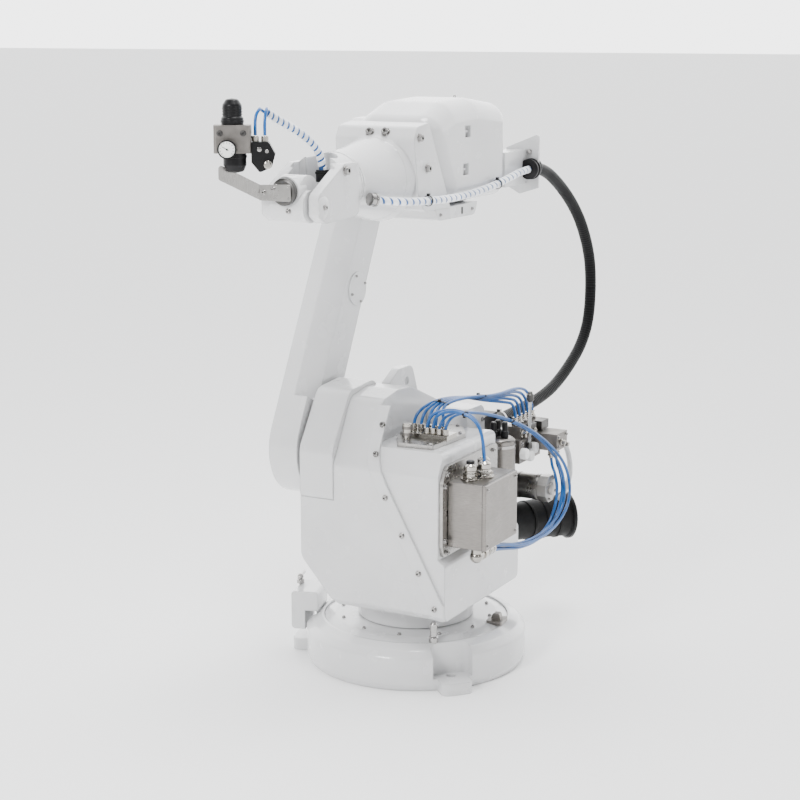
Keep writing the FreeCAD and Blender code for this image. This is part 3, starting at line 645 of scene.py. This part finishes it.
def add_torso_details():
    """Screws, collars and nuts on the column and its boxes."""
    screws("joint_screws", "torso", [(237, joint_y(z), z) for z in (215, 300, 390, 480)], (1, 0, 0), 6)
    screws("joint_screws_top", "torso", [(219, 2, 582), (181, 0, 648)], (0.863, 0, 0.505), 6)
    places = [(213, 520), (213, 385), (200, 548), (200, 352), (-60, 555), (-60, 352), (-76, 456)]
    screws("box_plate_screws", "torso", [(x, 188, z) for x, z in places], (0, 1, 0), 5.5)
    corners = [(x, 290, z) for x in (24, 185) for z in (378, 518)]
    screws("box_lid_screws", "torso", corners, (0, 1, 0), 3.2)
    plates("box_lid_seam", "torso", DARK_METAL, ((11.6, 280, 365.6), (197.4, 281.2, 530.4)))
    rim = [(170, 60, 608.3), (168, 126, 608.3), (20, 134, 608.3), (-52, 92, 608.3), (-52, 12, 608.3),
           (90, 6, 608.3)]
    screws("valve_plate_screws", "torso", rim, (0, 0, 1), 4.5)
    lug = [(-150, -84, 655), (-80, -84, 655)]
    screws("lug_screws", "torso", lug, (0, 1, 0), 7, WHITE_SMALL, add_hex_bolt)
    hump = [(-120, 96, 392), (-120, 96, 560), (-190, 96, 600)]
    screws("hump_screws", "torso", hump, (0, 1, 0), 5)
    collar = [(0, 0), (8.6, 0), (8.6, 3), (8, 3.4), (8, 12), (6.4, 14.6), (4, 14.6)]
    fittings = [(76, 34 + 20 * i) for i in range(5)] + [(104, 84 + 17 * i) for i in range(4)]
    collars = [((x, y, 621), (0, 0, 1), collar) for x, y in fittings]
    part_of("manifold_collars", "torso", NICKEL, *collars)
    part_of("silencer_mesh", "torso", CAST_METAL, ((146, 50, 624), (0, 0, 1), band(11.6, 8, 0.8)),
            ((146, 50, 640), (0, 0, 1), band(11.6, 8, 0.8)))
    nuts = [(x, y, 530.2) for x, y in ((150, 226), (112, 246), (74, 226))]
    screws("gland_nuts", "torso", nuts, (0, 0, 1), 18.5, NICKEL, add_hex_bolt)
    plug = [(0, 0), (10.5, 0), (10.5, 6), (8, 8), (0, 8)]
    part_of("gland_plug", "torso", BLACK, ((150, 226, 569), (0, 0, 1), plug))


MOTOR_X = -318
MOTOR_Z = 400
MOTOR_END = 239.8
CANISTER = (-176, 157)
ROD = (-284, 191)


def add_rear_details():
    """Fittings, knobs and bands behind the column."""
    part_of("canister_bands", "torso", ZINC, ((*CANISTER, 392), (0, 0, 1), band(38, 12)),
            ((*CANISTER, 540), (0, 0, 1), band(38, 9, 1.6)))
    plug = [(0, 0), (9.8, 0), (9.8, 16), (7.8, 18), (7.8, 38), (5, 41), (0, 41)]
    plugs = [((x, y, 561.6), (0, 0, 1), plug) for x, y in ((-190, 142), (-162, 142), (-176, 168))]
    part_of("canister_plugs", "torso", BLACK, *plugs)
    knob = [(15, 0), (15, 12), (13, 16.5), (6, 18.6), (0, 18.8)]
    knobs = [((x, 184.4, z), (0, 1, 0), knob) for x, z in ((-250, 504), (-284, 492), (-313, 508))]
    part_of("white_knobs", "torso", KNOB_WHITE, *knobs)
    rod_top = [(4.4, 0), (6.6, 2), (9.8, 6), (9.8, 20), (6, 24), (6, 28), (0, 28)]
    part_of("rod_fitting", "torso", DARK_METAL, ((*ROD, 637), (0, 0, 1), rod_top),
            ((*ROD, 512), (0, 0, 1), [(7, 0), (7, 14), (4.3, 16)]))
    octagon = [(MOTOR_X + 29 * math.cos(math.radians(a)), MOTOR_END,
                MOTOR_Z + 29 * math.sin(math.radians(a))) for a in range(22, 382, 90)]
    screws("motor_screws", "torso", octagon, (0, 1, 0), 3.5)
    cap = [(17, 0), (17, 3), (14, 5), (0, 5)]
    part_of("motor_cap", "torso", STEEL_PLATE, ((MOTOR_X, MOTOR_END, MOTOR_Z), (0, 1, 0), cap),
            ((MOTOR_X, 150, MOTOR_Z), (0, 1, 0), band(34, 6, 1.6)),
            ((MOTOR_X, 205, MOTOR_Z), (0, 1, 0), band(34, 10, 1.6)))
    face = [(-252, 184.2, 530), (-300, 184.2, 532), (-356, 184.2, 530), (-356, 184.2, 488), (-340, 250, 510),
            (-340, 250, 536), (-392, 250, 536)]
    screws("cluster_screws", "torso", face, (0, 1, 0), 4)
    large = [(0, 0), (11, 0), (11, 4), (9, 5), (9, 14), (6, 17), (0, 17)]
    small = [(0, 0), (8, 0), (8, 5), (6, 6), (6, 15), (0, 17)]
    sides = [((x, 176, 552), (0, 1, 0), large) for x in (-268, -296, -324, -372)]
    sides += [((x, 250, z), (0, 1, 0), small) for x, z in ((-354, 522), (-376, 512))]
    part_of("cluster_plugs", "torso", NICKEL, *sides)
    tops = [((x, 155, 592.2), (0, 0, 1), [(6, 0), (7.6, 0), (7.6, 2.2), (4, 2.2)]) for x in CLUSTER]
    bases = [((x, 155, 573), (0, 0, 1), [(10.6, 0), (10.6, 6), (9, 7)]) for x in CLUSTER]
    part_of("cluster_collars", "torso", ZINC, *tops, *bases)
    plates("cluster_blocks", "torso", DARK_METAL, ((-330, 176, 560), (-290, 190, 574)),
           ((-398, 176, 548), (-352, 196, 572)), ((-232, 126, 486), (-226, 172, 530)))
    screws("bracket_bolts", "torso", [(-235, 119.6, 382), (-235, 119.6, 460)], (0, 1, 0), 6, ZINC,
           add_hex_bolt)
    along = Vector((-0.76, 0.65, 0))
    rim = [(46, -4), (60, -8), (65, -4), (65, 3), (60, 7), (50, 7), (46, 2), (0, 1)]
    part_of("boot_rim", "torso", BLACK, ((-446, 232, 296), along, rim))
    folds = [((-330, 161, 299), (-0.89, 0.45, 0), band(51, 9, 2.6)),
             ((-370, 184, 298), (-0.82, 0.56, 0), band(53, 9, 2.6)),
             ((-408, 208, 297), (-0.78, 0.6, 0), band(55, 9, 2.6)),
             ((-250, 122, 300), (-0.97, 0.22, 0), band(47.5, 9, 2.6))]
    part_of("boot_folds", "torso", BOOT, *folds)
    part_of("socket_clamp", "torso", ZINC, ((-322, 84, 572), (1, 0, 0), band(22, 10, 1.4)))
    plates("socket_nut", "torso", ZINC, ((-327, 79, 593), (-317, 89, 601)))
    bottom = [((x, 228, 486), (0, 0, 1), band(9, 5, 1)) for x in (-345, -378)]
    part_of("riser_collars", "torso", ZINC, *bottom)
    part_of("coupling_rings", "torso", ZINC, ((70, 244, 336), (1, 0, 0), band(13, 5)),
            ((90, 244, 336), (1, 0, 0), band(13, 5)))


AXIS2_X = 105
AXIS2_Z = 560
AXIS3_X = -248
AXIS3_Z = 1252
TOP_HUB_AT = 776.944


def arm_place(x, y, z):
    """A point in the lower arm's own frame, in the shared frame."""
    lean = math.atan2(AXIS3_X - AXIS2_X, AXIS3_Z - AXIS2_Z)
    return (AXIS2_X + x * math.cos(lean) + z * math.sin(lean), y,
            AXIS2_Z - x * math.sin(lean) + z * math.cos(lean))


def add_arm_details():
    """Screws on the lower arm."""
    disc = [arm_place(8 + 36 * math.cos(a), -210.9, 420 + 36 * math.sin(a)) for a in (0.8, 2.37, 3.94, 5.51)]
    screws("arm_disc_screws", "lower_arm", disc, (0, 1, 0), 3)
    cap = [arm_place(97 * math.cos(math.radians(a)), -305.5, 97 * math.sin(math.radians(a)))
           for a in range(0, 360, 60)]
    screws("hub_cap_screws", "lower_arm", cap, (0, -1, 0), 4)
    top = [arm_place(96 * math.cos(math.radians(a)), -298, TOP_HUB_AT + 96 * math.sin(math.radians(a)))
           for a in range(0, 360, 45)]
    screws("top_hub_screws", "lower_arm", top, (0, -1, 0), 5)


def add_forearm_details():
    """Screws, painted shade in the cover slots, and gland rings on the forearm."""
    screws("foot_screws_front", "forearm", [(213, 28, 1364), (214, -14, 1363)], (0.84, 0, 0.54), 8.5)
    screws("foot_screws_side", "forearm", [(196, 108, 1352), (156, 108, 1278)], (0, 1, 0), 8.5)
    screws("foot_screws_low", "forearm", [(201, 84, 1222), (201, -84, 1222)], (0.987, 0, -0.161), 6)
    part_of("tube_line", "forearm", WHITE_SMALL, ((240, 0, 1256), (1, 0, 0), band(98.2, 3, 0.6)),
            ((392, 0, 1256), (1, 0, 0), band(69.4, 6, 1.2)))
    # Thin dark plates at the front edges of the cover windows and on the tray stand in for the shade inside
    # the slots: painted shade.
    boxes = []
    for x, z in ((-58, 1354), (-48, 1262)):
        boxes.append(((x + 7, 100, z - 13), (x + 14.6, 101.5, z + 13)))
    boxes.append(((-48, 103.6, 1152), (-40, 104.8, 1169)))
    plates("cover_slot_shade", "forearm", SHADE, *boxes)
    clips = [((x - 13, 100, z - 3), (x + 4, 106, z + 3)) for x, z in ((-58, 1354), (-48, 1262))]
    plates("cover_clips", "forearm", WHITE_SMALL, *clips)
    screws("cover_screw_top", "forearm", [(-152, 28, 1434)], (0, 0, 1), 3.5)
    screws("tray_screws", "forearm", [(76, 104, 1160), (-100, 104, 1160)], (0, 1, 0), 3.5)
    plates("cover_label", "forearm", DIAL, ((60, -172, 1266), (60.6, -132, 1318)))
    screws("elbow_cover_screws", "forearm", [(60, -128, 1222), (60, -184, 1222)], (1, 0, 0), 4)
    screws("gland_bolts", "forearm", [(-444, 84, 1279), (-444, 108, 1281)], (1, 0, 0.2), 6, ZINC,
           add_hex_bolt)
    collar = [(0, 0), (26, 0), (28, 4), (28, 9), (24, 11), (24, 17), (27, 19), (27, 24), (20, 27), (10, 27)]
    part_of("sleeve_collar", "forearm", BLACK, ((-443.6, 117, 1236), (1, 0, 0), collar))
    rings = [((-474, 100, 1236), (1, 0, 0), band(24, 6, 3)), ((-486, 100, 1236), (1, 0, 0), band(24, 6, 3)),
             ((-458, 100, 1236), (1, 0, 0), band(30, 5, 1.5))]
    part_of("gland_ribs", "forearm", BLACK, *rings)
    part_of("port_ring", "forearm", ZINC, ((376, 86.6, 1221.4), (47, -20, 7), band(15, 5, 1.5)))


def add_wrist_details():
    """Caps and screws on the wrist and the flange, and painted hole shade on the flange."""
    screws("wrist_screws", "wrist_roll", [(486, 73, 1295)], (0, 1, 0), 9)
    cap = [(24, -1), (24, 2), (20, 3.4), (8, 4), (0, 4)]
    part_of("bend_caps", "wrist_roll", WHITE_SMALL, ((585, 73, 1222), (0, 1, 0), cap))
    screws("bend_cap_screw", "wrist_roll", [(585, 77, 1222)], (0, 1, 0), 5)
    part_of("roll_line", "wrist_roll", WHITE_SMALL, ((408, 0, 1256), (1, 0, 0), band(73, 6, 1.4)))
    part_of("saddle_ring", "wrist_roll", BLACK, ((462, 0, 1286), (0, 0, 1), band(15, 6, 2)))
    screws("bend_screw", "wrist_bend", [(620.6, 6, 1214)], (1, 0, -0.2), 5)
    ring = [(634, 21 * math.sin(math.radians(a)), 1256 + 21 * math.cos(math.radians(a)))
            for a in (50, 130, 230, 310)]
    screws("flange_screws", "tool_flange", ring, (1, 0, 0), 3.2)
    # Thin dark discs on the flange face stand in for two holes and the shade in them: painted shade.
    hole_shade_discs = [((634.1, 0, z), (1, 0, 0), [(3, 0), (3, 0.3), (0, 0.3)]) for z in (1277, 1235)]
    part_of("flange_hole_shade", "tool_flange", SHADE, *hole_shade_discs)


TOOL_X = 690
TOOL_Y = -90
TOOL_TURN = math.radians(30)


def tool_place(x, y, z):
    """A point in the regulator's own frame, in the shared frame."""
    return (TOOL_X + x * math.cos(TOOL_TURN) - y * math.sin(TOOL_TURN),
            TOOL_Y + x * math.sin(TOOL_TURN) + y * math.cos(TOOL_TURN), z)


def add_tool_details():
    """Gauge dial, ports and ribs on the regulator."""
    front = (math.cos(TOOL_TURN), math.sin(TOOL_TURN), 0)
    side = (-front[1], front[0], 0)
    gauge = tool_place(52.3, -10, 1352)
    hub = tool_place(52.8, -10, 1352)
    part_of("dial_face", "tool_flange", DIAL, (gauge, front, [(17.4, -0.5), (17.4, 0.4), (0, 0.4)]))
    part_of("dial_rim", "tool_flange", BLACK,
            (gauge, front, [(20.3, -3), (20.3, 2), (17.4, 2), (17.4, -1)]),
            (hub, front, [(2, 0), (2, 1), (0, 1.2)]))
    shape = bmesh.new()
    frame_at = facing(vec(*hub), front)
    for angle in range(-130, 131, 26):
        turn = frame_at @ Matrix.Rotation(math.radians(angle), 4, "Z")
        add_box(shape, (-0.0004, 0.0125, 0), (0.0004, 0.0155, 0.0003), turn)
    add_box(shape, (-0.0005, -0.004, 0), (0.0005, 0.0125, 0.0008),
            frame_at @ Matrix.Rotation(math.radians(60), 4, "Z"))
    mesh_object("dial_marks", shape, BLACK, "tool_flange")
    screws("regulator_ports", "tool_flange", [tool_place(28, -26, 1385), tool_place(28, 24, 1385)], front, 5,
           DARK_METAL)
    part_of("regulator_side_port", "tool_flange", DARK_METAL,
            (tool_place(4, 40, 1384), side, [(10, -0.5), (10, 0.6), (6, 0.6), (6, -2), (0, -2)]))
    ribs = [(tool_place(0, 0, z), (0, 0, 1), band(21, 3, 0.9)) for z in (1424, 1430, 1436)]
    part_of("dome_ribs", "tool_flange", BLACK, *ribs, (tool_place(0, 0, 1409), (0, 0, 1), band(24, 6, 1.2)))
    part_of("bowl_ring", "tool_flange", BLACK, (tool_place(0, 4, 1334), (0, 0, 1), band(25, 6, 1.4)))
    part_of("valve_screws", "tool_flange", ZINC,
            (tool_place(18, 58, 1350), front, [(5, 0), (5, 2), (3, 2.6), (0, 2.6)]),
            (tool_place(18, 74, 1346), front, [(4, 0), (4, 2), (0, 2)]))
    screws("bracket_screws", "tool_flange", [(637.6, -46, 1254), (637.6, -22, 1262)], (1, 0, 0), 4)


# ------------------------------------------------------------------ finish of the CAD pieces

FINISH = {
    "base_casting": WHITE, "base_cover": WHITE_SMALL, "connector_box": WHITE, "drain_tap": ZINC,
    "stop_pin": ZINC, "seam_latch": STEEL, "swivel_neck": WHITE_SMALL, "gear_shell": WHITE,
    "side_housing": WHITE, "joint_rim": WHITE_SMALL, "axis2_ring": WHITE, "lifting_lug": WHITE,
    "rear_hump": WHITE, "valve_plate": STEEL_PLATE, "valve_manifold": NICKEL, "box_plate": STEEL_PLATE,
    "junction_box": STEEL, "box_glands": NICKEL, "box_elbow": NICKEL, "filter_canister": STEEL,
    "side_motor": STEEL_PLATE, "motor_bracket": DARK_METAL, "valve_cluster": CAST_METAL,
    "cluster_fittings": NICKEL, "sensor_rod": CLEAR, "rubber_boot": BOOT, "hose_socket": BLACK,
    "lower_arm": WHITE, "hub_cap": WHITE, "arm_disc_cover": WHITE_SMALL, "elbow_housing": WHITE,
    "elbow_cover": WHITE, "motor_cover": WHITE, "bottom_tray": WHITE, "forearm_casting": WHITE,
    "rear_plate": WHITE_SMALL, "rear_bracket": WHITE_SMALL, "hose_gland": BLACK, "sleeve_gland": BLACK,
    "sleeve_port": ZINC, "wrist_housing": WHITE, "saddle_gland": BLACK, "bend_barrel": WHITE_SMALL,
    "tool_flange": DARK_METAL, "tool_bracket": STEEL_PLATE, "regulator_block": CAST_METAL,
    "regulator_dome": BLACK, "regulator_bowl": BLACK, "pressure_gauge": BLACK, "valve_body": BLACK,
    "valve_fittings": NICKEL,
}


def finish_cad():
    """Gives each CAD piece that is seen its material."""
    for name, material in FINISH.items():
        node = NODES[name]
        node.data.materials.clear()
        node.data.materials.append(material)
        for polygon in node.data.polygons:
            polygon.material_index = 0
        shade_by_angle(node, 28)


# ------------------------------------------------------------------ stage

FLOOR_HALF = 90
BRIGHT_SIDE = (-0.85, -0.5, 0.1)
BRIGHT_WORLD = 4.2
DIM_WORLD = 0.52
LAMPS_AIM = (0, 0, 0.7)


def add_stage():
    """Pale floor, bright backdrop side and three soft lamps."""
    floor_shape = bmesh.new()
    add_box(floor_shape, (-FLOOR_HALF, -FLOOR_HALF, -0.02), (FLOOR_HALF, FLOOR_HALF, 0))
    floor_material, _ = new_material("floor_pale", (0.97, 0.97, 0.97), 0.7)
    floor = mesh_object("floor", floor_shape, floor_material, None)
    world = bpy.data.worlds.new("studio")
    world.use_nodes = True
    nodes = world.node_tree.nodes
    links = world.node_tree.links
    place = nodes.new("ShaderNodeTexCoord")
    towards = nodes.new("ShaderNodeVectorMath")
    towards.operation = "DOT_PRODUCT"
    towards.inputs[1].default_value = BRIGHT_SIDE
    spread = nodes.new("ShaderNodeMapRange")
    spread.interpolation_type = "SMOOTHSTEP"
    spread.inputs["From Min"].default_value = -0.2
    spread.inputs["From Max"].default_value = 0.7
    spread.inputs["To Min"].default_value = DIM_WORLD
    spread.inputs["To Max"].default_value = BRIGHT_WORLD
    links.new(place.outputs["Generated"], towards.inputs[0])
    links.new(towards.outputs["Value"], spread.inputs["Value"])
    background = nodes["Background"]
    background.inputs["Color"].default_value = (0.99, 0.995, 1.0, 1)
    links.new(spread.outputs["Result"], background.inputs["Strength"])
    bpy.context.scene.world = world
    lights = (("key", (4.4, -0.6, 3.0), 1.2, 170), ("top", (0.4, 0.6, 4.4), 1.4, 110),
              ("strip", (1.2, 3.6, 1.6), 0.5, 10))
    for name, lamp_at, size, power in lights:
        lamp = bpy.data.lights.new(name, "AREA")
        lamp.shape = "DISK"
        lamp.size = size
        lamp.energy = power
        thing = bpy.data.objects.new(name, lamp)
        thing.location = lamp_at
        thing.rotation_euler = (Vector(LAMPS_AIM) - Vector(lamp_at)).to_track_quat("-Z", "Y").to_euler()
        bpy.context.scene.collection.objects.link(thing)


add_camera()
add_cords()
finish_cad()
add_base_details()
add_torso_details()
add_rear_details()
add_ties()
add_arm_details()
add_forearm_details()
add_wrist_details()
add_tool_details()
add_stage()
